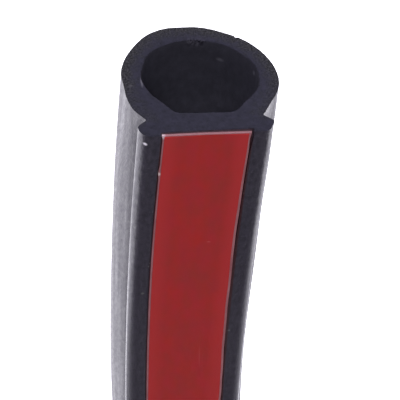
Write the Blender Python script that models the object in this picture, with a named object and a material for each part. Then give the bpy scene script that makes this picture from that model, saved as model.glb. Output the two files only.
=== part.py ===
"""Hollow rubber seal strip: a D-shaped sponge rubber extrusion with adhesive tape along its base.

The strip lies on the floor with its round bulb down and its taped base up. It is bowed sideways
in plan, which keeps it from rolling. Units are metres, +Z is up, and the floor is z = 0.
"""

import math

import bmesh
import bpy
from mathutils import Matrix, Vector

# The strip as a whole
STRIP_LENGTH = 1.0
BOW_ANGLE = math.radians(90)
STRIP_WIDTH = 0.014
STRIP_HEIGHT = 0.0133

# Hollow bulb: an even wall round a bore whose sides turn in over rounded haunches to a flat floor
BULB_WALL = 0.00172
BASE_WALL = 0.0015
BORE_FLOOR_WIDTH = 0.0052
BORE_SIDE_ANGLE = math.radians(6)
BORE_HAUNCH_RISE = 0.0007
BORE_HAUNCH_ROUND = 0.0012
BORE_CORNER_ROUND = 0.0006

# Flanks, side notches, lips and feet. A drop is measured down from the plane of the feet.
FLANK_TURN_DROP = 0.0046
NOTCH_WIDTH = 0.0102
NOTCH_DROP = 0.00195
NOTCH_ROUND = 0.0002
LIP_WIDTH = 0.0120
LIP_DROP = 0.0012
LIP_ROUND = 0.0003
FOOT_WIDTH = 0.0111
FOOT_LAND = 0.0007
FOOT_ROUND = 0.0003

# Double-sided tape in a shallow channel of the base, under its release liner
TAPE_WIDTH = 0.008
TAPE_THICKNESS = 0.00025
LINER_WIDTH = 0.00775
LINER_THICKNESS = 0.0001
LINER_RECESS = 0.0001
TOUCH_GAP = 0.0003

# Facets: enough that the bow and the bulb stay round to about 0.1 mm
BOW_STEPS = 40
BULB_STEPS = 24
BORE_STEPS = 20
FLANK_STEPS = 5
CORNER_STEPS = 3

COLLECTION_NAME = "rubber_seal_strip"
RUBBER_COLOUR = (0.033, 0.030, 0.042, 1.0)
TAPE_COLOUR = (0.62, 0.56, 0.58, 1.0)
LINER_COLOUR = (0.275, 0.022, 0.026, 1.0)

# Worked out from the sizes above
BOW_RADIUS = STRIP_LENGTH / BOW_ANGLE
BULB_RADIUS = STRIP_WIDTH / 2
BORE_RADIUS = BULB_RADIUS - BULB_WALL
LINER_TOP = STRIP_HEIGHT - LINER_RECESS
LINER_BOTTOM = LINER_TOP - LINER_THICKNESS
TAPE_TOP = LINER_BOTTOM - TOUCH_GAP
TAPE_BOTTOM = TAPE_TOP - TAPE_THICKNESS
CHANNEL_FLOOR = TAPE_BOTTOM - TOUCH_GAP
CHANNEL_WIDTH = TAPE_WIDTH + 2 * TOUCH_GAP
BORE_FLOOR = CHANNEL_FLOOR - BASE_WALL


def clear_scene():
    """Empty the scene without closing the file that the script runs from."""
    for scene_object in list(bpy.data.objects):
        bpy.data.objects.remove(scene_object, do_unlink=True)


def new_material(name, colour, roughness):
    """A plain Principled BSDF material."""
    material = bpy.data.materials.new(name)
    material.use_nodes = True
    shader = material.node_tree.nodes["Principled BSDF"]
    shader.inputs["Base Color"].default_value = colour
    shader.inputs["Roughness"].default_value = roughness
    shader.inputs["Metallic"].default_value = 0.0
    return material


def arc(centre, radius, start, end, steps):
    """Points on a circle from one angle to another, both ends included."""
    turn = (end - start) / steps
    angles = [start + turn * step for step in range(steps + 1)]
    return [centre + radius * Vector((math.cos(angle), math.sin(angle))) for angle in angles]


def bend(start, corner, end, steps):
    """Points on the curve that leaves start towards corner and comes into end from it."""
    points = []
    for step in range(steps + 1):
        t = step / steps
        points.append((1 - t) ** 2 * start + 2 * t * (1 - t) * corner + t ** 2 * end)
    return points


def rounded_corner(before, corner, after, size):
    """A corner whose tip is cut back by size along both legs and rounded."""
    start = corner + size * (before - corner).normalized()
    end = corner + size * (after - corner).normalized()
    return bend(start, corner, end, CORNER_STEPS)


def mirrored(points):
    """The same points on the other side of the section's middle line, in reverse order."""
    return [Vector((-point.x, point.y)) for point in reversed(points)]


def seal_outline():
    """Outer outline of the extrusion: base with its channel, lips, notches, flanks and bulb."""
    bulb_centre = Vector((0, BULB_RADIUS))
    widest = Vector((BULB_RADIUS, BULB_RADIUS))
    flank_turn = Vector((BULB_RADIUS, STRIP_HEIGHT - FLANK_TURN_DROP))
    notch = Vector((NOTCH_WIDTH / 2, STRIP_HEIGHT - NOTCH_DROP))
    lip = Vector((LIP_WIDTH / 2, STRIP_HEIGHT - LIP_DROP))
    foot = Vector((FOOT_WIDTH / 2, STRIP_HEIGHT))
    land_end = Vector((FOOT_WIDTH / 2 - FOOT_LAND, STRIP_HEIGHT))
    channel_edge = Vector((CHANNEL_WIDTH / 2, LINER_TOP))
    channel_corner = Vector((CHANNEL_WIDTH / 2, CHANNEL_FLOOR))

    notch_points = rounded_corner(flank_turn, notch, lip, NOTCH_ROUND)
    half = bend(widest, flank_turn, notch_points[0], FLANK_STEPS)
    half += notch_points[1:]
    half += rounded_corner(notch, lip, foot, LIP_ROUND)
    half += rounded_corner(lip, foot, land_end, FOOT_ROUND)
    half += [land_end, channel_edge, channel_corner]
    bulb = arc(bulb_centre, BULB_RADIUS, math.pi, 2 * math.pi, BULB_STEPS)
    return half + mirrored(half) + bulb[1:-1]


def bore_outline():
    """Outline of the bore: round towards the bulb, flat-floored towards the base."""
    bulb_centre = Vector((0, BULB_RADIUS))
    side_end = 2 * math.pi - BORE_SIDE_ANGLE
    lower_arc = arc(bulb_centre, BORE_RADIUS, 3 * math.pi - side_end, side_end, BORE_STEPS)
    haunch = Vector((BORE_RADIUS, BULB_RADIUS + BORE_HAUNCH_RISE))
    corner = Vector((BORE_FLOOR_WIDTH / 2, BORE_FLOOR))
    middle = Vector((0, BORE_FLOOR))
    half = rounded_corner(lower_arc[-1], haunch, corner, BORE_HAUNCH_ROUND)
    half += rounded_corner(haunch, corner, middle, BORE_CORNER_ROUND)
    return lower_arc + half + mirrored(half)


def band_outline(width, bottom, top):
    """Rectangle of a flat band that lies along the middle of the base."""
    half_width = width / 2
    return [
        Vector((-half_width, bottom)),
        Vector((half_width, bottom)),
        Vector((half_width, top)),
        Vector((-half_width, top)),
    ]


def filled_section(name, outlines):
    """Flat mesh of a section, with each outline after the first as a hole in it."""
    curve = bpy.data.curves.new(name, "CURVE")
    curve.dimensions = "2D"
    curve.fill_mode = "BOTH"
    for outline in outlines:
        spline = curve.splines.new("POLY")
        spline.points.add(len(outline) - 1)
        for spline_point, point in zip(spline.points, outline):
            spline_point.co = (point.x, point.y, 0, 1)
        spline.use_cyclic_u = True
    guide = bpy.data.objects.new(name, curve)
    bpy.context.scene.collection.objects.link(guide)
    depsgraph = bpy.context.evaluated_depsgraph_get()
    mesh = bpy.data.meshes.new_from_object(guide.evaluated_get(depsgraph))
    bpy.data.objects.remove(guide, do_unlink=True)
    bpy.data.curves.remove(curve)
    return mesh


def bowed_strip(name, outlines, material, collection, parent):
    """Sweep a section along the bow. The parent sits at the centre of the bow."""
    mesh = filled_section(name + "_section", outlines)
    mesh.name = name
    shape = bmesh.new()
    shape.from_mesh(mesh)
    bmesh.ops.remove_doubles(shape, verts=shape.verts, dist=0.000001)
    upright = Matrix.Rotation(math.radians(90), 4, "X")
    at_start = Matrix.Translation((-BOW_RADIUS, 0, 0))
    bmesh.ops.transform(shape, matrix=at_start @ upright, verts=shape.verts)
    bmesh.ops.spin(
        shape,
        geom=shape.verts[:] + shape.edges[:] + shape.faces[:],
        cent=(0, 0, 0),
        axis=(0, 0, 1),
        angle=BOW_ANGLE,
        steps=BOW_STEPS,
        use_duplicate=False,
    )
    bmesh.ops.recalc_face_normals(shape, faces=shape.faces)
    shape.to_mesh(mesh)
    shape.free()
    mesh.shade_smooth()
    mesh.set_sharp_from_angle(angle=math.radians(35))
    mesh.materials.clear()
    mesh.materials.append(material)
    strip = bpy.data.objects.new(name, mesh)
    collection.objects.link(strip)
    strip.parent = parent
    return strip


def bow_centre():
    """Where the centre of the bow goes, so that the strip's box is centred over the origin."""
    start = Vector((-1, 0))
    end = Vector((-math.cos(BOW_ANGLE), -math.sin(BOW_ANGLE)))
    inner = BOW_RADIUS - BULB_RADIUS
    outer = BOW_RADIUS + BULB_RADIUS
    corners = [start * inner, start * outer, end * inner, end * outer]
    if BOW_ANGLE > math.pi / 2:
        corners.append(Vector((0, -outer)))
    if BOW_ANGLE > math.pi:
        corners.append(Vector((outer, 0)))
    middle_x = (min(c.x for c in corners) + max(c.x for c in corners)) / 2
    middle_y = (min(c.y for c in corners) + max(c.y for c in corners)) / 2
    return Vector((-middle_x, -middle_y, 0))


def build():
    clear_scene()
    collection = bpy.data.collections.new(COLLECTION_NAME)
    bpy.context.scene.collection.children.link(collection)
    centre = bpy.data.objects.new("bow_centre", None)
    centre.location = bow_centre()
    collection.objects.link(centre)

    rubber = new_material("sponge_rubber", RUBBER_COLOUR, 0.55)
    adhesive = new_material("adhesive_tape", TAPE_COLOUR, 0.5)
    liner = new_material("red_liner", LINER_COLOUR, 0.4)

    bowed_strip("seal_profile", [seal_outline(), bore_outline()], rubber, collection, centre)
    tape_section = band_outline(TAPE_WIDTH, TAPE_BOTTOM, TAPE_TOP)
    bowed_strip("adhesive_tape", [tape_section], adhesive, collection, centre)
    liner_section = band_outline(LINER_WIDTH, LINER_BOTTOM, LINER_TOP)
    bowed_strip("release_liner", [liner_section], liner, collection, centre)


build()
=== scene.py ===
"""Looks of the hollow rubber seal strip: sponge rubber, adhesive tape and its red release liner.

Lengths are in metres, in the CAD model's frame. The strip lies on its round bulb with the taped
base up, bowed in plan as a quarter circle. Its own coordinates are u, across it towards the inside
of the bow, s, along it from the photographed end, and z, up.
"""

import math
import random

import bmesh
import bpy
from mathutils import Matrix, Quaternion, Vector, kdtree, noise
from mathutils.geometry import delaunay_2d_cdt


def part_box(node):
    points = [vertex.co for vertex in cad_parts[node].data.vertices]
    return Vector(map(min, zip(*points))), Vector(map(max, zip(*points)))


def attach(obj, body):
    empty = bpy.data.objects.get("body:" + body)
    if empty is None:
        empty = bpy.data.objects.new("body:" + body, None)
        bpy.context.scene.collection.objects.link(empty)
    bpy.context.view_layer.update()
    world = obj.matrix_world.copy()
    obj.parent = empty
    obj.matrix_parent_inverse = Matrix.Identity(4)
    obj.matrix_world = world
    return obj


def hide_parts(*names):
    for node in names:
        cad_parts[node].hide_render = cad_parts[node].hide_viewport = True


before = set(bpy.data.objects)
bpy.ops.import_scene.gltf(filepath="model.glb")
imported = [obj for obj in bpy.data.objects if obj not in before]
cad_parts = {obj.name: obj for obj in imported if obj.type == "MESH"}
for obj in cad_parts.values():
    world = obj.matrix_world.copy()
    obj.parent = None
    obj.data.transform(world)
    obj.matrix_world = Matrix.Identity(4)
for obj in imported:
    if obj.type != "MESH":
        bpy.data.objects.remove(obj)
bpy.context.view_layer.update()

MM = 0.001

# The bow, from the frame: the strip starts and ends square to the box, a quarter turn apart
seal_low, seal_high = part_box("seal_profile")
HALF_WIDTH = 7.0 * MM
BOW_CENTRE = Vector((seal_high.x, seal_high.y))
BOW_RADIUS = seal_high.x - seal_low.x - HALF_WIDTH
LENGTH = BOW_RADIUS * math.pi / 2
FEET = seal_high.z
BULB_CENTRE = Vector((0, HALF_WIDTH))

# Section of the seal. A drop is measured down from the plane of the feet.
BORE_RADIUS = 5.28 * MM
BORE_SIDE_ANGLE = math.radians(6)
BORE_HAUNCH_RISE = 0.7 * MM
BORE_HAUNCH_ROUND = 1.2 * MM
BORE_FLOOR_DROP = 2.5 * MM
BORE_FLOOR_HALF = 2.6 * MM
BORE_CORNER_ROUND = 0.6 * MM
FLANK_TURN_DROP = 4.6 * MM
NOTCH_HALF = 5.1 * MM
NOTCH_DROP = 1.95 * MM
NOTCH_ROUND = 0.2 * MM
LIP_HALF = 6.0 * MM
LIP_DROP = 1.2 * MM
LIP_ROUND = 0.35 * MM
FOOT_HALF = 5.58 * MM
FOOT_ROUND = 0.78 * MM
INNER_NOTCH_HALF = 5.02 * MM
INNER_FOOT_HALF = 5.36 * MM
INNER_FOOT_ROUND = 0.45 * MM
SEAT_HALF = 3.94 * MM
SEAT_DROP = 0.38 * MM
SEAT_BRINK_ROUND = 0.06 * MM

# Tape and liner. The set-back is how far their ends lie behind the cut, and the slant is how much
# more that is towards the inside of the bow. The bands even it out over the slant's length.
TAPE_HALF = 3.80 * MM
TAPE_DROP = 0.15 * MM
LINER_HALF = 3.62 * MM
LINER_DROP = 0.08 * MM
BAND_ROUND = 0.04 * MM
BAND_SET_BACK = 0.28 * MM
LINER_SET_BACK = 0.38 * MM
END_SLANT = 0.08 * MM
END_SLANT_LENGTH = 1.2 * MM

# Facets of the outlines, stretch by stretch
SEAT_STEPS = 6
BRINK_STEPS = 2
LAND_STEPS = 5
FOOT_STEPS = 7
LIP_STEPS = 7
SLOPE_STEPS = 3
NOTCH_STEPS = 4
FLANK_STEPS = 18
BULB_SIDE_STEPS = 22
NICK_ARC_STEPS = 14
BULB_BOTTOM_STEPS = 14
BORE_FLAT_STEPS = 7
BORE_CORNER_STEPS = 6
BORE_HAUNCH_STEPS = 8
BORE_SIDE_STEPS = 24
TEAR_ARC_STEPS = 16
BAND_ROUND_STEPS = 2
BAND_TOP_STEPS = 10

# Angles round the bulb between which the facets are finer, for the nick and for the torn cells
NICK_ARC_START, NICK_ARC_END = math.radians(-48), math.radians(-62)
TEAR_ARC_START = math.radians(-76)
BULB_BOTTOM = math.radians(-90)

# How finely the sweeps are cut: close together at both cuts and along the photographed stretch.
# When less than LAST_STEP_SHARE steps are left before the end, one step takes it all.
FIRST_STEP = 0.08 * MM
STEP_GROWTH = 0.35
NEAR_STEP = 0.9 * MM
NEAR_LENGTH = 60 * MM
FAR_STEP = 5.0 * MM
BORE_NEAR_STEP = 3.0 * MM
BORE_STEP = 8.0 * MM
LAST_STEP_SHARE = 1.5

# Where the soft sponge is fuller (above 0) or flatter in the photographed stretch. Each is
# (angle from the bulb's lowest point, its spread, place along the strip, its spread, height),
# in degrees and mm, and the angle is positive towards the inside of the bow.
OUTER_SWELLS = [
    (-30, 17, 0, 12, 0.30),
    (-45, 28, 0, 12, 0.14),
    (-18, 12, 0, 12, 0.09),
    (-34, 9, 0, 12, 0.02),
    (24, 16, 0, 12, -0.24),
    (47, 24, 0, 12, -0.17),
    (-68, 14, 0, 12, 0.04),
    (-92, 11, 0, 9, -0.28),
    (-85, 30, 9, 8, 0.03),
    (-117, 8, 0, 6, 0.14),
    (115, 9, 0, 6, -0.10),
    (98, 28, 9, 6.5, 0.19),
    (98, 28, 3, 3, 0.04),
    (98, 28, 23, 11, 0.18),
    (85, 35, 42, 12, -0.09),
    (-85, 35, 42, 12, 0.09),
    (-135, 4, 45, 18, 0.10),
]
BORE_SWELLS = [
    (-49, 20, 0, 12, 0.34),
    (-20, 14, 0, 12, 0.08),
    (-65, 8, 0, 12, -0.09),
    (72, 13, 0, 12, 0.14),
    (10, 14, 0, 12, -0.11),
    (45, 20, 0, 12, -0.07),
    (-97, 10, 0, 10, -0.12),
    (-92, 14, 0, 10, -0.09),
    (-120, 30, 0, 10, -0.24),
    (108, 18, 0, 10, 0.15),
    (143, 20, 0, 10, 0.09),
]

# Slight waves of the whole skin, longer along the strip than across it, calming to the far end
WAVE_SIZE = 5 * MM
WAVE_STRETCH = 5
WAVE_HEIGHT = 0.03 * MM
CALM_LENGTH = 20 * MM

# Where the edges of the tape, its liner and their seat stray outwards: (place, spread, how far), in mm
OUTER_STRAYS = [(18, 12, 0.065)]
INNER_STRAYS = [(6.4, 2, 0.05), (13.3, 2.5, -0.06), (37.5, 5, 0.10)]
OUTER_TAPE_STRAYS = OUTER_STRAYS + [(0.3, 0.28, 0.08), (5.4, 0.2, 0.12)]
INNER_TAPE_STRAYS = INNER_STRAYS + [(0.2, 0.5, 0.06), (1.5, 0.6, -0.04), (20, 25, 0.06)]
OUTER_LINER_STRAYS = OUTER_STRAYS + [(0, 12, 0.05)]
INNER_LINER_STRAYS = INNER_STRAYS + [(0, 6, 0.05)]
OUTER_SEAT_STRAYS = [(18, 14, 0.10)]
INNER_SEAT_STRAYS = [(0.6, 1.7, 0.15), (22, 11, -0.08), (37.5, 5, 0.07)]

# The tape's middle line, in mm: how far off the base's middle it is at most, how much of that it
# regains, and how far along the strip the furthest place is
WANDER_MOST = -0.088
WANDER_REGAINED = 0.061
WANDER_PLACE = 35

# The bands' inner edges waver: by how much, over what length, and in which row of the noise
EDGE_WAVER = 0.08 * MM
EDGE_WAVER_LENGTH = 4 * MM
EDGE_WAVER_ROW = 3.7

# A point of a band or of the seat that is further out than this is on its edge or side, and a
# point of the skin that is less than the drop below the plane of the feet is on their flat
BAND_EDGE_HALF = 3 * MM
SEAT_SIDE_HALF = 0.9 * SEAT_HALF
FLAT_DROP = 0.05 * MM

# A nick in the skin, and torn cells along the bore's edge, both at the photographed cut
NICK_ANGLE, NICK_SPREAD = math.radians(35.3), math.radians(1.0)
NICK_DEPTH, NICK_LENGTH = 0.14 * MM, 0.5 * MM
TEAR_MIDDLE, TEAR_REACH = 0.18 * MM, 0.62 * MM
TEAR_PITCH, TEAR_DEPTH, TEAR_LENGTH = 0.31 * MM, 0.13 * MM, 0.4 * MM

# The cut faces, and how they fray at the skin and at the bore. The jitter and the clearance are
# shares of the pitch of their points, a pore's reach is a share of its cell, and the slant is a
# share of the width. The bore's rim distance is what its edge counts as its distance from the skin.
NEAR_CUT_PITCH = 0.125 * MM
FAR_CUT_PITCH = 0.16 * MM
PITCH_JITTER = 0.22
RIM_CLEARANCE = 0.7
MERGE_DISTANCE = 1e-9
CELL_SIZE = 0.36 * MM
PORE_REACH = 0.5
PORE_DEPTH = 0.10 * MM
CUT_WAVE_SIZE = 3.5 * MM
CUT_WAVE_DEPTH = 0.06 * MM
CUT_SLANT = 0.042
SLANT_LENGTH = 8 * MM
EDGE_ROUND_DEPTH = 0.05 * MM
EDGE_ROUND_WIDTH = 0.10 * MM
SKIN_FRAY_SIZE, SKIN_FRAY_DEPTH, SKIN_FRAY_LENGTH = 0.45 * MM, 0.035 * MM, 0.4 * MM
BORE_FRAY_SIZE, BORE_FRAY_DEPTH, BORE_FRAY_LENGTH = 0.5 * MM, 0.04 * MM, 0.5 * MM
BORE_RIM_DISTANCE = 2 * MM
NEAR_SEED = 1
FAR_SEED = 7

# Smooth shading stops at edges sharper than this
SHARP_ANGLE = math.radians(50)

# Camera: where it looks on the tape, and how it stands to that point
AIM_S = 8.99 * MM
AIM_U = 0.025 * MM
CAMERA_DISTANCE = 155.68 * MM
CAMERA_ELEVATION = math.radians(40.48)
CAMERA_SWING = math.radians(10.59)
CAMERA_ROLL = math.radians(171.69)
LENS_MM = 156.84
SENSOR_MM = 36.0

# Area lights: (name, place, what it points at, side, power)
AREA_LIGHTS = [
    ("overhead", (-0.1, 0.9, 2.2), (-0.1, 0, 0), 1.6, 24),
    ("front", (-0.634, 2.025, 1.354), (-0.315, 0.32, 0), 0.7, 22),
]
ROOM_COLOUR = (0.93, 0.95, 1.0, 1)
ROOM_STRENGTH = 0.08

# The white floor, flat out to where its edge turns up in a quarter circle
FLOOR_REACH = 8.0
FLOOR_RISE = 1.0
FLOOR_STEPS = 64
FLOOR_TURNS = (0.4, 0.8, 1.2, math.pi / 2)
FLOOR_COLOUR = (0.40, 0.40, 0.40)
FLOOR_GLOW = (0.93, 0.91, 1.0, 1)
FLOOR_GLOW_STRENGTH = 2.15

# Tints. A pair is the darker and the lighter of a pattern.
SKIN_TINTS = ((0.020, 0.017, 0.028), (0.034, 0.028, 0.047))
# Painted shade and painted red reflection of the tape, for the black rubber in the tape's seat
SEAT_PAINTED_SHADE_AND_REFLECTION = (0.030, 0.004, 0.007)
BORE_EDGE_TINTS = ((0.021, 0.020, 0.029), (0.027, 0.026, 0.037))
# Painted light: the bore's paler tints further in, where less light reaches
BORE_DEEP_PAINTED_LIGHT_TINTS = ((0.062, 0.060, 0.083), (0.080, 0.077, 0.107))
BORE_TEAR_TINTS = ((0.008, 0.007, 0.013), (0.050, 0.047, 0.064))
CUT_CORE_TINTS = ((0.0125, 0.0122, 0.0195), (0.0185, 0.0175, 0.0290))
CUT_GRAIN_TINTS = ((0.007, 0.0068, 0.0085), (0.0315, 0.0305, 0.0355))
CUT_TEAR_TINTS = ((0.011, 0.010, 0.017), (0.034, 0.032, 0.044))
CUT_RIM_TINT = (0.011, 0.0115, 0.010)
TAPE_TINTS = ((0.25, 0.092, 0.108), (0.35, 0.150, 0.175))
# Painted shade on the tape's cut ends, which face the strong front light
TAPE_END_PAINTED_SHADE = (0.285, 0.134, 0.154)
LINER_WARM_TINTS = ((0.310, 0.028, 0.026), (0.385, 0.023, 0.022))
LINER_COOL_TINTS = ((0.315, 0.026, 0.030), (0.390, 0.022, 0.029))
LINER_EDGE_TINT = (0.42, 0.030, 0.033)

# The part of a noise's range over which a pattern goes from its first value to its last
FULL_CONTRAST = (0.3, 0.7)
MOTTLE_CONTRAST = (0.35, 0.68)
BORE_CONTRAST = (0.35, 0.7)
GLOSS_CONTRAST = (0.32, 0.68)
GRAIN_CONTRAST = (0.42, 0.60)
HUE_CONTRAST = (0.4, 0.62)
STROKE_CONTRAST = (0.40, 0.60)

# Bands of the skin that are duller (above 0) or glossier: below the notch, on the lip, on the foot.
# Each is (lowest and highest height, how softly it ends), (place, place, change there, change there).
# Heights and places are in mm.
SKIN_BANDS = [
    ((10.5, 11.3, 0.7), (0.5, 4, -0.12, 0.12)),
    ((11.95, 12.45, 0.15), (14, 34, -0.12, -0.24)),
    ((12.80, 13.15, 0.2), (16, 36, 0, 0.2)),
]

# How much further along the strip the skin's mottle is for each length up
FLANK_SLANT = 1.17

# How deep the bumps of each surface are
SKIN_BUMP = 0.11 * MM
BORE_BUMP = 0.08 * MM
CUT_BUMP = 0.05 * MM

# Small marks: (place as u, s, z), (size as u, s, z), turn, strength, colour. Lengths are in mm.
# They are dust on the base, flakes on the tape's edge, flecks in the bore, a painted highlight
# along the bore's rim and a fleck on the cut, and scratches on the liner.
SPOT_SOFTNESS = 0.7
SKIN_SPECKS = [
    ((-5.33, 1.18, 13.3), (0.24, 0.21, 2), math.radians(35), 1.0, (0.74, 0.70, 0.80)),
    ((-4.10, 18.13, 13.3), (0.18, 0.14, 2), 0.0, 0.20, (0.6, 0.6, 0.6)),
    ((-4.59, 22.13, 13.3), (0.22, 0.20, 2), 0.0, 0.12, (0.6, 0.6, 0.6)),
    ((4.08, 28.79, 13.3), (0.18, 0.20, 2), 0.0, 0.14, (0.6, 0.6, 0.6)),
]
TAPE_FLAKES = [
    ((-3.80, 0.38, 13.1), (0.36, 0.42, 2), 0.0, 1.0, (0.60, 0.45, 0.51)),
    ((-3.80, 5.40, 13.1), (0.30, 0.28, 2), 0.0, 1.0, (0.66, 0.52, 0.54)),
]
BORE_FLECKS = [
    ((2.50, 2.06, 2.35), (0.42, 0.28, 0.9), 0.0, 0.45, (0.10, 0.095, 0.12)),
    ((4.95, 1.05, 5.30), (0.60, 0.34, 0.24), 0.0, 0.5, (0.10, 0.095, 0.12)),
]
CUT_FLECK_AND_RIM_HIGHLIGHT = [
    # The first is a painted highlight along the bore's left rim, the second a fleck
    ((-5.12, 0.5, 6.75), (0.15, 2, 0.85), 0.0, 0.8, (0.080, 0.077, 0.094)),
    ((-6.16, 0.5, 7.20), (0.24, 2, 0.26), 0.0, 0.5, (0.055, 0.052, 0.062)),
]
LINER_SCRATCHES = [
    ((1.33, 15.01, 13.2), (0.24, 0.07, 2), math.radians(8), 0.5, (0.60, 0.16, 0.15)),
    ((1.42, 33.0, 13.2), (0.045, 2.2, 2), math.radians(-2), 0.35, (0.50, 0.10, 0.10)),
]


def place(s, u, z):
    """The point of the CAD model's frame at s along the strip, u across it and z up.

    The photographed cut is a little oblique, and the sections next to it lean with it.
    """
    lean = CUT_SLANT * (HALF_WIDTH - u) * max(0.0, 1 - s / SLANT_LENGTH)
    angle = (s + lean) / BOW_RADIUS
    reach = BOW_RADIUS - u
    x = BOW_CENTRE.x - reach * math.cos(angle)
    y = BOW_CENTRE.y - reach * math.sin(angle)
    return Vector((x, y, z))


def line(start, end, steps):
    """Points from start to end, both included."""
    return [start.lerp(end, step / steps) for step in range(steps + 1)]


def arc(centre, radius, start, end, steps):
    """Points on a circle from one angle to another, both included."""
    turn = (end - start) / steps
    angles = [start + turn * step for step in range(steps + 1)]
    return [centre + radius * Vector((math.cos(angle), math.sin(angle))) for angle in angles]


def bend(start, corner, end, steps):
    """Points on the curve that leaves start towards corner and comes into end from it."""
    points = []
    for step in range(steps + 1):
        t = step / steps
        points.append((1 - t) ** 2 * start + 2 * t * (1 - t) * corner + t ** 2 * end)
    return points


def rounded_corner(before, corner, after, size, steps):
    """A corner whose tip is cut back by size along both legs and rounded."""
    start = corner + size * (before - corner).normalized()
    end = corner + size * (after - corner).normalized()
    return bend(start, corner, end, steps)


def both_sides(half, other_half):
    """A closed outline from its halves, both drawn at u above 0 between the same two middle points."""
    other = [Vector((-point.x, point.y)) for point in reversed(other_half[1:-1])]
    return half + other


def half_seal_outline(notch_half, foot_half, foot_round):
    """Half the seal's outer outline, from the middle of the tape's seat round to the lowest point."""
    seat_middle = Vector((0, FEET - SEAT_DROP))
    seat_corner = Vector((SEAT_HALF, FEET - SEAT_DROP))
    seat_edge = Vector((SEAT_HALF, FEET))
    foot = Vector((foot_half, FEET))
    lip = Vector((LIP_HALF, FEET - LIP_DROP))
    notch = Vector((notch_half, FEET - NOTCH_DROP))
    flank_turn = Vector((HALF_WIDTH, FEET - FLANK_TURN_DROP))
    widest = Vector((HALF_WIDTH, HALF_WIDTH))

    seat_brink = rounded_corner(seat_corner, seat_edge, foot, SEAT_BRINK_ROUND, BRINK_STEPS)
    foot_points = rounded_corner(seat_edge, foot, lip, foot_round, FOOT_STEPS)
    lip_points = rounded_corner(foot, lip, notch, LIP_ROUND, LIP_STEPS)
    notch_points = rounded_corner(lip, notch, flank_turn, NOTCH_ROUND, NOTCH_STEPS)
    half = line(seat_middle, seat_corner, SEAT_STEPS) + seat_brink
    half += line(seat_brink[-1], foot_points[0], LAND_STEPS)[1:-1] + foot_points
    half += line(foot_points[-1], lip_points[0], SLOPE_STEPS)[1:-1] + lip_points
    half += line(lip_points[-1], notch_points[0], SLOPE_STEPS)[1:-1] + notch_points
    half += bend(notch_points[-1], flank_turn, widest, FLANK_STEPS)[1:-1]
    half += arc(BULB_CENTRE, HALF_WIDTH, 0, NICK_ARC_START, BULB_SIDE_STEPS)
    half += arc(BULB_CENTRE, HALF_WIDTH, NICK_ARC_START, NICK_ARC_END, NICK_ARC_STEPS)[1:]
    half += arc(BULB_CENTRE, HALF_WIDTH, NICK_ARC_END, BULB_BOTTOM, BULB_BOTTOM_STEPS)[1:]
    return half


def seal_outline():
    """The seal's outer outline. Its foot on the inside of the bow is the narrower and sharper one."""
    inner_half = half_seal_outline(INNER_NOTCH_HALF, INNER_FOOT_HALF, INNER_FOOT_ROUND)
    outer_half = half_seal_outline(NOTCH_HALF, FOOT_HALF, FOOT_ROUND)
    return both_sides(inner_half, outer_half)


def bore_outline():
    """The bore's outline, from the middle of its flat floor round the bulb."""
    middle = Vector((0, FEET - BORE_FLOOR_DROP))
    corner = Vector((BORE_FLOOR_HALF, FEET - BORE_FLOOR_DROP))
    haunch = Vector((BORE_RADIUS, HALF_WIDTH + BORE_HAUNCH_RISE))
    side = arc(BULB_CENTRE, BORE_RADIUS, -BORE_SIDE_ANGLE, TEAR_ARC_START, BORE_SIDE_STEPS)
    crown = arc(BULB_CENTRE, BORE_RADIUS, TEAR_ARC_START, BULB_BOTTOM, TEAR_ARC_STEPS)
    corner_points = rounded_corner(middle, corner, haunch, BORE_CORNER_ROUND, BORE_CORNER_STEPS)
    haunch_points = rounded_corner(corner, haunch, side[0], BORE_HAUNCH_ROUND, BORE_HAUNCH_STEPS)
    half = line(middle, corner_points[0], BORE_FLAT_STEPS)[:-1] + corner_points
    half += line(corner_points[-1], haunch_points[0], BORE_FLAT_STEPS)[1:-1] + haunch_points
    half += side + crown[1:]
    return both_sides(half, half)


def band_outline(half_width, bottom, top):
    """Outline of a flat band with its upper edges just broken."""
    low_corner = Vector((half_width, bottom))
    high_corner = Vector((half_width, top))
    middle_top = Vector((0, top))
    high_points = rounded_corner(low_corner, high_corner, middle_top, BAND_ROUND, BAND_ROUND_STEPS)
    half = [Vector((0, bottom)), low_corner] + high_points
    half += line(high_points[-1], middle_top, BAND_TOP_STEPS)[1:]
    return both_sides(half, half)


def stations(start, end, near_step, far_step):
    """Places along the strip for the rings of a sweep."""
    places = [start]
    while places[-1] < end:
        s = places[-1]
        from_cut = min(s - start, end - s)
        step = min(FIRST_STEP + STEP_GROWTH * from_cut, near_step if s < NEAR_LENGTH else far_step)
        if end - s < LAST_STEP_SHARE * step:
            step = end - s
        places.append(s + step)
    return places


def fade(distance, spread):
    """1 at no distance, falling away smoothly over the spread."""
    return math.exp(-(distance / spread) ** 2)


def swell(swells, angle, s):
    """Height of all the swells together at an angle round the bulb and a place along the strip."""
    height = 0.0
    for middle, angle_spread, place_s, s_spread, full_height in swells:
        across = fade(math.degrees(angle) - middle, angle_spread)
        height += full_height * MM * across * fade(s / MM - place_s, s_spread)
    return height


def stray(strays, s):
    """How far an edge strays outwards at s."""
    return sum(distance * MM * fade(s / MM - middle, spread) for middle, spread, distance in strays)


def tape_wander(s):
    """How far the tape lies off the middle of the base."""
    regained = min(((s / MM - WANDER_PLACE) / WANDER_PLACE) ** 2, 1)
    return (WANDER_MOST + WANDER_REGAINED * regained) * MM


def fray(point, s, size, depth, length, highest):
    """Height of the frayed edge that a cut leaves. Its noise, from -1 to 1, is held at highest."""
    ragged = noise.noise(Vector((point.x, point.y, NEAR_SEED)) / size)
    return depth * min(ragged, highest) * fade(min(s, LENGTH - s), length)


def seat_point(point, s):
    """A point of the tape's seat as it lies at s."""
    u = point.x + tape_wander(s)
    if point.x > SEAT_SIDE_HALF:
        u += stray(INNER_SEAT_STRAYS, s)
    elif point.x < -SEAT_SIDE_HALF:
        u -= stray(OUTER_SEAT_STRAYS, s)
    return Vector((u, point.y))


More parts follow.
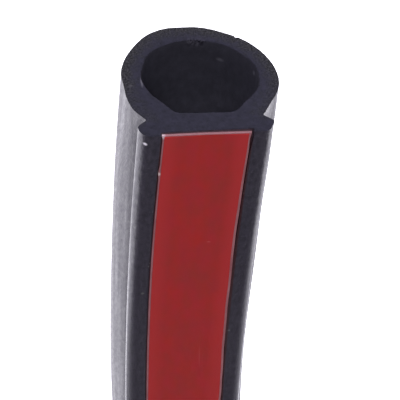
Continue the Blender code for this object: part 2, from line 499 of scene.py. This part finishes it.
def skin_point(point, s):
    """A point of the outer outline as it lies at s."""
    if abs(point.x) < SEAT_HALF + 2 * SEAT_BRINK_ROUND and point.y > FEET - 2 * SEAT_DROP:
        return seat_point(point, s)
    if point.y > FEET - FLAT_DROP:
        return point.copy()
    out = point - BULB_CENTRE
    angle = math.atan2(out.x, -out.y)
    height = swell(OUTER_SWELLS, angle, s)
    height -= NICK_DEPTH * fade(angle - NICK_ANGLE, NICK_SPREAD) * fade(s, NICK_LENGTH)
    uneven = noise.noise(Vector((point.x, point.y, s / WAVE_STRETCH)) / WAVE_SIZE)
    height += WAVE_HEIGHT * uneven * min(1, (LENGTH - s) / CALM_LENGTH)
    height += fray(point, s, SKIN_FRAY_SIZE, SKIN_FRAY_DEPTH, SKIN_FRAY_LENGTH, 0)
    moved = point + out.normalized() * height
    return Vector((moved.x, min(max(moved.y, 0.0), FEET)))


def bore_point(point, s):
    """A point of the bore's outline as it lies at s."""
    out = point - BULB_CENTRE
    angle = math.atan2(out.x, -out.y)
    height = swell(BORE_SWELLS, angle, s)
    if out.y < 0 and abs(point.x - TEAR_MIDDLE) < TEAR_REACH:
        phase = (point.x - TEAR_MIDDLE + TEAR_REACH) / TEAR_PITCH
        height += TEAR_DEPTH * abs(math.sin(math.pi * phase)) ** 3 * fade(s, TEAR_LENGTH)
    height += fray(point, s, BORE_FRAY_SIZE, BORE_FRAY_DEPTH, BORE_FRAY_LENGTH, 1)
    return point + out.normalized() * height


def ring_faces(start, count, rings):
    """Quads between rings of count points each. The first ring starts at index start."""
    faces = []
    for ring in range(rings - 1):
        here = start + ring * count
        there = here + count
        for point in range(count):
            following = (point + 1) % count
            faces.append((here + point, here + following, there + following, there + point))
    return faces


def level_spans(outlines, z):
    """Stretches of a level line that lie in the rubber."""
    crossings = []
    for outline in outlines:
        for a, b in zip(outline, outline[1:] + outline[:1]):
            if (a.y > z) != (b.y > z):
                crossings.append(a.x + (b.x - a.x) * (z - a.y) / (b.y - a.y))
    crossings.sort()
    return list(zip(crossings[0::2], crossings[1::2]))


def tree_of(points):
    """Search tree for the nearest of the points."""
    tree = kdtree.KDTree(len(points))
    for index, point in enumerate(points):
        tree.insert(point.to_3d(), index)
    tree.balance()
    return tree


def scattered_points(outlines, rim, pitch, chance):
    """Points inside a cut, in offset rows and jittered, that stay clear of its rim."""
    rim_tree = tree_of(rim)
    row_height = pitch * math.sqrt(3) / 2
    inner = []
    for row in range(1, int(FEET / row_height) + 1):
        z = row * row_height
        shift = pitch / 2 if row % 2 else 0
        for start, end in level_spans(outlines, z):
            first_column = math.ceil((start - shift) / pitch)
            last_column = int((end - shift) / pitch)
            for column in range(first_column, last_column + 1):
                jitter = Vector((chance.uniform(-1, 1), chance.uniform(-1, 1))) * pitch * PITCH_JITTER
                point = Vector((column * pitch + shift, z)) + jitter
                from_rim = rim_tree.find(point.to_3d())[2]
                if start < point.x < end and from_rim > RIM_CLEARANCE * pitch:
                    inner.append(point)
    return inner


def cut_mesh(outlines, pitch, chance):
    """Points inside a cut, and fine triangles over it.

    The triangles count the outlines' points first and then the points inside.
    """
    rim = [point for outline in outlines for point in outline]
    inner = scattered_points(outlines, rim, pitch, chance)
    edges = []
    first = 0
    for outline in outlines:
        count = len(outline)
        edges += [(first + index, first + (index + 1) % count) for index in range(count)]
        first += count
    inside_edges = 1
    triangulated = delaunay_2d_cdt(rim + inner, edges, [], inside_edges, MERGE_DISTANCE)
    places, _, triangles, sources, _, _ = triangulated
    kept = []
    for triangle in triangles:
        middle = sum((places[corner] for corner in triangle), Vector((0, 0))) / 3
        if any(start < middle.x < end for start, end in level_spans(outlines, middle.y)):
            kept.append(tuple(sources[corner][0] for corner in triangle))
    return inner, kept


def cut_depth(point, rim_distance, seed):
    """How far the cut surface lies behind the plane of the cut: waves, pores and a softened edge."""
    wave = 0.5 + 0.5 * noise.noise(Vector((point.x, point.y, seed * MM)) / CUT_WAVE_SIZE)
    cell = noise.voronoi(Vector((point.x, point.y, seed * MM)) / CELL_SIZE)[0][0]
    pore = (max(0.0, PORE_REACH - cell) / PORE_REACH) ** 2
    edge = math.exp(-rim_distance / EDGE_ROUND_WIDTH)
    return CUT_WAVE_DEPTH * wave + PORE_DEPTH * pore * (1 - edge) + EDGE_ROUND_DEPTH * edge


class Shape:
    """Points and faces of a piece while it's put together, with each point's place on the strip."""

    def __init__(self):
        self.points = []
        self.local = []
        self.rims = []
        self.faces = []
        self.face_materials = []

    def add_point(self, s, point, set_back=0.0, rim_distance=0.0):
        """A point of a section at s, moved along the strip by its set-back."""
        self.points.append(place(s + set_back, point.x, point.y))
        self.local.append(Vector((point.x, s, point.y)))
        self.rims.append(Vector((rim_distance, 0, 0)))

    def add_faces(self, faces, material):
        """Faces that share a material, given as its slot."""
        self.faces += faces
        self.face_materials += [material] * len(faces)

    def add_sweep(self, outline, places, at, material, rim_distance):
        """A skin over rings of the outline. Returns the first and the last ring, as indices."""
        start = len(self.points)
        for s in places:
            for point in outline:
                moved = at(point, s)
                set_back = 0.0
                if s == 0:
                    set_back = cut_depth(moved, 0, NEAR_SEED)
                elif s == LENGTH:
                    set_back = -cut_depth(moved, 0, FAR_SEED)
                self.add_point(s, moved, set_back, rim_distance)
        self.add_faces(ring_faces(start, len(outline), len(places)), material)
        last = len(self.points) - len(outline)
        return range(start, start + len(outline)), range(last, last + len(outline))

    def add_cut(self, s, rings, pitch, seed, material):
        """The cut face between an outer ring and a bore ring."""
        outlines = []
        for ring in rings:
            outlines.append([Vector((self.local[index].x, self.local[index].z)) for index in ring])
        inner, triangles = cut_mesh(outlines, pitch, random.Random(seed))
        outer_tree, bore_tree = tree_of(outlines[0]), tree_of(outlines[1])
        numbers = [index for ring in rings for index in ring]
        for point in inner:
            to_skin = outer_tree.find(point.to_3d())[2]
            to_bore = bore_tree.find(point.to_3d())[2]
            depth = cut_depth(point, min(to_skin, to_bore), seed)
            numbers.append(len(self.points))
            self.add_point(s, point, depth if s == 0 else -depth, to_skin)
        faces = [tuple(numbers[corner] for corner in triangle) for triangle in triangles]
        self.add_faces(faces, material)

    def finish(self, name, materials, node):
        """Makes the piece that stands for a CAD node."""
        mesh = bpy.data.meshes.new(name)
        mesh.from_pydata(self.points, [], self.faces)
        for attribute_name, values in (("strip_place", self.local), ("rim_distance", self.rims)):
            attribute = mesh.attributes.new(attribute_name, "FLOAT_VECTOR", "POINT")
            attribute.data.foreach_set("vector", [number for value in values for number in value])
        for material in materials:
            mesh.materials.append(material)
        mesh.polygons.foreach_set("material_index", self.face_materials)
        shape = bmesh.new()
        shape.from_mesh(mesh)
        bmesh.ops.recalc_face_normals(shape, faces=shape.faces)
        shape.to_mesh(mesh)
        shape.free()
        mesh.shade_smooth()
        mesh.set_sharp_from_angle(angle=SHARP_ANGLE)
        piece = bpy.data.objects.new(name, mesh)
        bpy.context.scene.collection.objects.link(piece)
        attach(piece, "root")
        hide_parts(node)


def seal():
    """The sponge rubber extrusion with its bore and both cut faces."""
    shape = Shape()
    skin, bore, cut = 0, 1, 2
    outer_places = stations(0, LENGTH, NEAR_STEP, FAR_STEP)
    bore_places = stations(0, LENGTH, BORE_NEAR_STEP, BORE_STEP)
    outer_near, outer_far = shape.add_sweep(seal_outline(), outer_places, skin_point, skin, 0)
    bore_near, bore_far = shape.add_sweep(
        bore_outline(), bore_places, bore_point, bore, BORE_RIM_DISTANCE
    )
    shape.add_cut(0, (outer_near, bore_near), NEAR_CUT_PITCH, NEAR_SEED, cut)
    shape.add_cut(LENGTH, (outer_far, bore_far), FAR_CUT_PITCH, FAR_SEED, cut)
    materials = [skin_material(), bore_material(), cut_material()]
    shape.finish("sponge_seal", materials, "seal_profile")


def band(name, outline, set_back, outer_strays, inner_strays, material, node):
    """A flat band of tape or liner along the base, with flat cut ends."""
    shape = Shape()
    places = stations(set_back, LENGTH - set_back, NEAR_STEP, FAR_STEP)
    for s in places:
        slant = END_SLANT * max(0.0, 1 - (s - set_back) / END_SLANT_LENGTH)
        waver = EDGE_WAVER * noise.noise(Vector((s / EDGE_WAVER_LENGTH, EDGE_WAVER_ROW, 0)))
        for point in outline:
            u = point.x + tape_wander(s)
            if point.x > BAND_EDGE_HALF:
                u += waver + stray(inner_strays, s)
            elif point.x < -BAND_EDGE_HALF:
                u -= stray(outer_strays, s)
            shape.add_point(s, Vector((u, point.y)), slant * max(0.0, u / TAPE_HALF))
            shape.local[-1].x = point.x
    count = len(outline)
    total = len(shape.points)
    shape.add_faces(ring_faces(0, count, len(places)), 0)
    shape.add_faces([tuple(range(count)), tuple(range(total - count, total))], 0)
    shape.finish(name, [material], node)


def add_node(tree, kind, values=None, **settings):
    """A shader node. Values maps a socket to a number, a colour or the socket that feeds it."""
    made = tree.nodes.new(kind)
    for name, value in settings.items():
        setattr(made, name, value)
    for socket, value in (values or {}).items():
        if isinstance(value, bpy.types.NodeSocket):
            tree.links.new(value, made.inputs[socket])
        else:
            made.inputs[socket].default_value = value
    return made


def new_material(name, colour, roughness, specular):
    """A Principled material. Returns it with its tree and shader."""
    made = bpy.data.materials.new(name)
    made.use_nodes = True
    tree = made.node_tree
    shader = tree.nodes["Principled BSDF"]
    shader.inputs["Base Color"].default_value = (*colour, 1)
    shader.inputs["Roughness"].default_value = roughness
    shader.inputs["Specular IOR Level"].default_value = specular
    return made, tree, shader


def calculated(tree, operation, first, second=0.0):
    """What a math node gives for one or two numbers or sockets."""
    made = add_node(tree, "ShaderNodeMath", {0: first, 1: second}, operation=operation)
    return made.outputs[0]


def added(tree, first, second):
    """The sum of two numbers or sockets."""
    return calculated(tree, "ADD", first, second)


def multiplied(tree, first, second):
    """The product of two numbers or sockets."""
    return calculated(tree, "MULTIPLY", first, second)


def ramp(tree, value, low, high, first, last):
    """Value from low to high mapped to first to last, and held beyond."""
    limits = {"From Min": low, "From Max": high, "To Min": first, "To Max": last}
    made = add_node(tree, "ShaderNodeMapRange", {"Value": value, **limits})
    return made.outputs["Result"]


def between(tree, value, low, high, soft):
    """1 where the value lies between low and high, falling to 0 over soft on either side."""
    rise = ramp(tree, value, low - soft, low, 0, 1)
    fall = ramp(tree, value, high, high + soft, 1, 0)
    return multiplied(tree, rise, fall)


def mixed(tree, share, first, second):
    """A colour between two colours, each a triple or a socket."""
    made = add_node(tree, "ShaderNodeMix", data_type="RGBA")
    for socket, value in ((0, share), (6, first), (7, second)):
        if isinstance(value, bpy.types.NodeSocket):
            tree.links.new(value, made.inputs[socket])
        else:
            made.inputs[socket].default_value = (*value, 1) if socket else value
    return made.outputs[2]


def patterned(tree, pattern, contrast, tints):
    """The darker and the lighter of two tints, mixed by a noise over part of its range."""
    return mixed(tree, ramp(tree, pattern, *contrast, 0, 1), *tints)


def strip_place(tree):
    """The socket of a point's u, s and z together."""
    return add_node(tree, "ShaderNodeAttribute", attribute_name="strip_place").outputs["Vector"]


def strip_coordinates(tree):
    """The sockets of a point's u, s and z."""
    return add_node(tree, "ShaderNodeSeparateXYZ", {0: strip_place(tree)}).outputs[:3]


def from_nearer_cut(tree, s):
    """How far a place along the strip is from the nearer cut."""
    return calculated(tree, "MINIMUM", s, calculated(tree, "SUBTRACT", LENGTH, s))


def noise_at(tree, where, detail, roughness):
    """Noise at a vector socket that already counts waves."""
    values = {"Vector": where, "Scale": 1.0, "Detail": detail, "Roughness": roughness}
    return add_node(tree, "ShaderNodeTexNoise", values).outputs["Fac"]


def strip_noise(tree, across, along, detail=3.0, roughness=0.6):
    """Noise on the strip, with so many waves a metre across its section and along it."""
    values = {0: strip_place(tree), 1: (across, along, across)}
    scaled = add_node(tree, "ShaderNodeVectorMath", values, operation="MULTIPLY")
    return noise_at(tree, scaled.outputs["Vector"], detail, roughness)


def slanting_noise(tree, across, along, upward, detail=3.0, roughness=0.6):
    """Noise that slants down the flanks, with so many waves a metre across, along and up."""
    u, s, z = strip_coordinates(tree)
    slanting = added(tree, s, multiplied(tree, z, FLANK_SLANT))
    values = {
        "X": multiplied(tree, u, across),
        "Y": multiplied(tree, slanting, along),
        "Z": multiplied(tree, z, upward),
    }
    scaled = add_node(tree, "ShaderNodeCombineXYZ", values)
    return noise_at(tree, scaled.outputs[0], detail, roughness)


def add_bump(tree, shader, height, strength, distance):
    """Bumps in a shader's normal."""
    values = {"Height": height, "Strength": strength, "Distance": distance}
    bump = add_node(tree, "ShaderNodeBump", values)
    tree.links.new(bump.outputs["Normal"], shader.inputs["Normal"])


def spot(tree, centre, size, turn):
    """1 inside a small ellipse at (u, s, z), turned about z, falling to 0 at its edge."""
    values = {"Vector": strip_place(tree), "Location": centre, "Rotation": (0, 0, turn), "Scale": size}
    inside = add_node(tree, "ShaderNodeMapping", values, vector_type="TEXTURE")
    values = {0: inside.outputs["Vector"]}
    reach = add_node(tree, "ShaderNodeVectorMath", values, operation="LENGTH")
    return ramp(tree, reach.outputs["Value"], 1 - SPOT_SOFTNESS, 1, 1, 0)


def with_spots(tree, colour, spots):
    """The colour with spots over it, each (centre, size, turn, strength, colour of the spot)."""
    for centre, size, turn, strength, spot_colour in spots:
        centre_m = tuple(value * MM for value in centre)
        size_m = tuple(value * MM for value in size)
        mask = multiplied(tree, spot(tree, centre_m, size_m, turn), strength)
        colour = mixed(tree, mask, colour, spot_colour)
    return colour


def torn_cells(tree):
    """Where the torn cells at the bore's edge are, and the noise of the dark and light in them."""
    u, s, z = strip_coordinates(tree)
    across = between(tree, u, TEAR_MIDDLE - TEAR_REACH, TEAR_MIDDLE + TEAR_REACH, 0.35 * MM)
    along = ramp(tree, s, 0.3 * MM, 1.0 * MM, 1, 0)
    on_bulb = ramp(tree, z, 2.4 * MM, 3.0 * MM, 1, 0)
    mask = multiplied(tree, multiplied(tree, across, along), on_bulb)
    return mask, strip_noise(tree, 4000, 2200, 1)


def skin_tint(tree, mottle):
    """Mottled black, with painted shade and a painted red reflection in the tape's seat, and dust
    specks.
    """
    u, s, z = strip_coordinates(tree)
    across_seat = between(tree, u, -SEAT_HALF, SEAT_HALF, 0.12 * MM)
    at_base = ramp(tree, z, FEET - 0.6 * MM, FEET - 0.5 * MM, 0, 1)
    behind_cut = ramp(tree, s, 0.3 * MM, 0.6 * MM, 0.4, 1)
    painted_shade_in_seat = multiplied(tree, multiplied(tree, across_seat, at_base), behind_cut)
    tint = patterned(tree, mottle, MOTTLE_CONTRAST, SKIN_TINTS)
    # Painted shade and painted red reflection in the tape's seat, over the mottled black
    return with_spots(tree, mixed(tree, painted_shade_in_seat, tint, SEAT_PAINTED_SHADE_AND_REFLECTION), SKIN_SPECKS)


def skin_roughness(tree, mottle, fine):
    """Streaked and mottled roughness, with duller and glossier bands and a duller inner side."""
    u, s, z = strip_coordinates(tree)
    streaks = ramp(tree, strip_noise(tree, 1500, 60), *FULL_CONTRAST, -0.07, 0.07)
    grain = ramp(tree, fine, *FULL_CONTRAST, -0.03, 0.03)
    roughness = ramp(tree, mottle, *GLOSS_CONTRAST, 0.37, 0.49)
    roughness = added(tree, added(tree, streaks, grain), roughness)
    for (low, high, soft), (start, end, first, last) in SKIN_BANDS:
        in_band = between(tree, z, low * MM, high * MM, soft * MM)
        change = ramp(tree, s, start * MM, end * MM, first, last)
        roughness = added(tree, roughness, multiplied(tree, in_band, change))
    inner_side = ramp(tree, u, 5.0 * MM, 5.4 * MM, 0, 1)
    inner_dullness = ramp(tree, s, 0.5 * MM, 4 * MM, 0.05, 0.14)
    return added(tree, roughness, multiplied(tree, inner_side, inner_dullness))


def skin_material():
    """Satin extruded skin, finely mottled, bumpier near the photographed cut."""
    made, tree, shader = new_material("seal_skin", (0.027, 0.022, 0.037), 0.42, 0.75)
    mottle = slanting_noise(tree, 2600, 1500, 1500)
    fine = strip_noise(tree, 5200, 3600, 2)
    tree.links.new(skin_tint(tree, mottle), shader.inputs["Base Color"])
    tree.links.new(skin_roughness(tree, mottle, fine), shader.inputs["Roughness"])
    height = added(tree, mottle, multiplied(tree, fine, 0.25))
    strength = ramp(tree, strip_coordinates(tree)[1], 7 * MM, 22 * MM, 0.7, 0.3)
    add_bump(tree, shader, height, strength, SKIN_BUMP)
    return made


def bore_material():
    """The bore's matt dark skin, with torn cells at its edge and two light flecks.

    It is painted paler further in from the cut: painted light where less light reaches it.
    """
    made, tree, shader = new_material("bore_skin", (0.030, 0.028, 0.041), 0.8, 0.12)
    mottle = strip_noise(tree, 1300, 900, 3)
    at_edge = patterned(tree, mottle, BORE_CONTRAST, BORE_EDGE_TINTS)
    painted_light_deeper = patterned(tree, mottle, BORE_CONTRAST, BORE_DEEP_PAINTED_LIGHT_TINTS)
    from_cut = from_nearer_cut(tree, strip_coordinates(tree)[1])
    # Painted light: the bore is painted paler the further it lies from the cut
    tint = mixed(tree, ramp(tree, from_cut, 1.5 * MM, 11 * MM, 0, 1), at_edge, painted_light_deeper)
    torn, strokes = torn_cells(tree)
    tint = mixed(tree, torn, tint, patterned(tree, strokes, STROKE_CONTRAST, BORE_TEAR_TINTS))
    tint = with_spots(tree, tint, BORE_FLECKS)
    tree.links.new(tint, shader.inputs["Base Color"])
    add_bump(tree, shader, mottle, 0.3, BORE_BUMP)
    return made


def cut_material():
    """Matt cut sponge: smooth and purplish towards the bore and the base, grainy towards the skin."""
    made, tree, shader = new_material("cut_sponge", (0.018, 0.017, 0.026), 0.9, 0.10)
    z = strip_coordinates(tree)[2]
    mottle = strip_noise(tree, 1500, 1500, 4)
    grain = strip_noise(tree, 6200, 6200, 2, 0.7)
    core = patterned(tree, mottle, MOTTLE_CONTRAST, CUT_CORE_TINTS)
    coarse = patterned(tree, grain, GRAIN_CONTRAST, CUT_GRAIN_TINTS)

    rim = add_node(tree, "ShaderNodeAttribute", attribute_name="rim_distance")
    from_rim = add_node(tree, "ShaderNodeSeparateXYZ", {0: rim.outputs["Vector"]}).outputs[0]
    from_base = ramp(tree, z, 11.2 * MM, 12.6 * MM, 0, 1.2 * MM)
    distance = added(tree, from_rim, from_base)
    ragged = added(tree, distance, ramp(tree, mottle, *FULL_CONTRAST, -0.45 * MM, 0.45 * MM))
    on_bulb = ramp(tree, z, 6.5 * MM, 9.5 * MM, 1, 0.4)
    graininess = multiplied(tree, on_bulb, ramp(tree, ragged, 0.35 * MM, 1.45 * MM, 1, 0))
    body = mixed(tree, graininess, core, coarse)
    colour = mixed(tree, ramp(tree, distance, 0.0, 0.12 * MM, 0, 1), CUT_RIM_TINT, body)

    torn, strokes = torn_cells(tree)
    half_torn = multiplied(tree, torn, ramp(tree, z, 1.0 * MM, 1.9 * MM, 0, 0.6))
    stroked = patterned(tree, strokes, STROKE_CONTRAST, CUT_TEAR_TINTS)
    # A fleck, and a painted highlight along the bore's left rim
    colour = with_spots(tree, mixed(tree, half_torn, colour, stroked), CUT_FLECK_AND_RIM_HIGHLIGHT)
    tree.links.new(colour, shader.inputs["Base Color"])
    add_bump(tree, shader, grain, 0.4, CUT_BUMP)
    return made


def tape_material():
    """Dull pink acrylic foam of the tape, with painted shade that greys its cut ends, and two pale
    flakes.
    """
    made, tree, shader = new_material("tape_foam", (0.32, 0.11, 0.13), 0.6, 0.3)
    tint = patterned(tree, strip_noise(tree, 3000, 600), FULL_CONTRAST, TAPE_TINTS)
    from_cut = from_nearer_cut(tree, strip_coordinates(tree)[1])
    # Painted shade: the tape's cut ends are painted greyer and duller
    painted_shade_at_end = ramp(tree, from_cut, BAND_SET_BACK + 0.05 * MM, BAND_SET_BACK + 0.12 * MM, 1, 0)
    tint = with_spots(tree, mixed(tree, painted_shade_at_end, tint, TAPE_END_PAINTED_SHADE), TAPE_FLAKES)
    tree.links.new(tint, shader.inputs["Base Color"])
    return made


def liner_material():
    """Red release film: satin, slightly blotchy, brighter along its edges, with two faint scratches."""
    made, tree, shader = new_material("red_film", (0.35, 0.025, 0.028), 0.38, 0.25)
    blotches = strip_noise(tree, 420, 260, 4)
    hue = strip_noise(tree, 900, 300, 3)
    fine = strip_noise(tree, 1800, 500)
    warm = patterned(tree, blotches, MOTTLE_CONTRAST, LINER_WARM_TINTS)
    cool = patterned(tree, blotches, MOTTLE_CONTRAST, LINER_COOL_TINTS)
    base = patterned(tree, hue, HUE_CONTRAST, (warm, cool))
    from_middle = calculated(tree, "ABSOLUTE", strip_coordinates(tree)[0])
    edge = ramp(tree, from_middle, 2.2 * MM, LINER_HALF, 0, 1)
    colour = with_spots(tree, mixed(tree, edge, base, LINER_EDGE_TINT), LINER_SCRATCHES)
    tree.links.new(colour, shader.inputs["Base Color"])
    tree.links.new(ramp(tree, fine, *FULL_CONTRAST, 0.33, 0.46), shader.inputs["Roughness"])
    return made


def floor():
    """A white floor that turns up far away, bright enough to lose all shadow as in the photograph."""
    flat_reach = FLOOR_REACH - FLOOR_RISE
    profile = [(flat_reach, 0.0)]
    for turn in FLOOR_TURNS:
        distance = flat_reach + FLOOR_RISE * math.sin(turn)
        profile.append((distance, FLOOR_RISE - FLOOR_RISE * math.cos(turn)))
    points = [(0, 0, 0)]
    for distance, height in profile:
        for step in range(FLOOR_STEPS):
            angle = math.tau * step / FLOOR_STEPS
            points.append((distance * math.cos(angle), distance * math.sin(angle), height))
    faces = [(0, 1 + step, 1 + (step + 1) % FLOOR_STEPS) for step in range(FLOOR_STEPS)]
    faces += ring_faces(1, FLOOR_STEPS, len(profile))
    mesh = bpy.data.meshes.new("floor")
    mesh.from_pydata(points, [], faces)
    made, _, shader = new_material("floor_white", FLOOR_COLOUR, 0.9, 0.0)
    shader.inputs["Emission Color"].default_value = FLOOR_GLOW
    shader.inputs["Emission Strength"].default_value = FLOOR_GLOW_STRENGTH
    mesh.materials.append(made)
    ground = bpy.data.objects.new("floor", mesh)
    bpy.context.scene.collection.objects.link(ground)


def area_light(name, location, target, size, power):
    """A square light that points at its target."""
    light = bpy.data.lights.new(name, "AREA")
    light.shape = "SQUARE"
    light.size = size
    light.energy = power
    lamp = bpy.data.objects.new(name, light)
    lamp.location = location
    lamp.rotation_mode = "QUATERNION"
    lamp.rotation_quaternion = (Vector(target) - Vector(location)).to_track_quat("-Z", "Y")
    bpy.context.scene.collection.objects.link(lamp)


def lights():
    """Even soft light from above, a soft light from the camera's side, and a dim room."""
    for settings in AREA_LIGHTS:
        area_light(*settings)
    world = bpy.data.worlds.new("studio")
    world.use_nodes = True
    background = world.node_tree.nodes["Background"]
    background.inputs["Color"].default_value = ROOM_COLOUR
    background.inputs["Strength"].default_value = ROOM_STRENGTH
    bpy.context.scene.world = world
    bpy.context.scene.view_settings.view_transform = "Standard"


def camera():
    """The camera at the photograph's angle, rolled over, because there the bulb is at the top."""
    aim = place(AIM_S, AIM_U, FEET)
    level = math.cos(CAMERA_ELEVATION)
    looking_x = math.sin(CAMERA_SWING) * level
    looking_y = -math.cos(CAMERA_SWING) * level
    looking = Vector((looking_x, looking_y, -math.sin(CAMERA_ELEVATION)))
    data = bpy.data.cameras.new("camera")
    data.lens = LENS_MM
    data.sensor_width = SENSOR_MM
    data.clip_start = 10 * MM
    eye = bpy.data.objects.new("camera", data)
    eye.location = aim - looking * CAMERA_DISTANCE
    eye.rotation_mode = "QUATERNION"
    upright = looking.to_track_quat("-Z", "Y")
    eye.rotation_quaternion = upright @ Quaternion((0, 0, 1), CAMERA_ROLL)
    bpy.context.scene.collection.objects.link(eye)
    bpy.context.scene.camera = eye


seal()
band("foam_tape", band_outline(TAPE_HALF, FEET - SEAT_DROP, FEET - TAPE_DROP), BAND_SET_BACK,
     OUTER_TAPE_STRAYS, INNER_TAPE_STRAYS, tape_material(), "adhesive_tape")
band("red_liner", band_outline(LINER_HALF, FEET - TAPE_DROP, FEET - LINER_DROP), LINER_SET_BACK,
     OUTER_LINER_STRAYS, INNER_LINER_STRAYS, liner_material(), "release_liner")
floor()
lights()
camera()
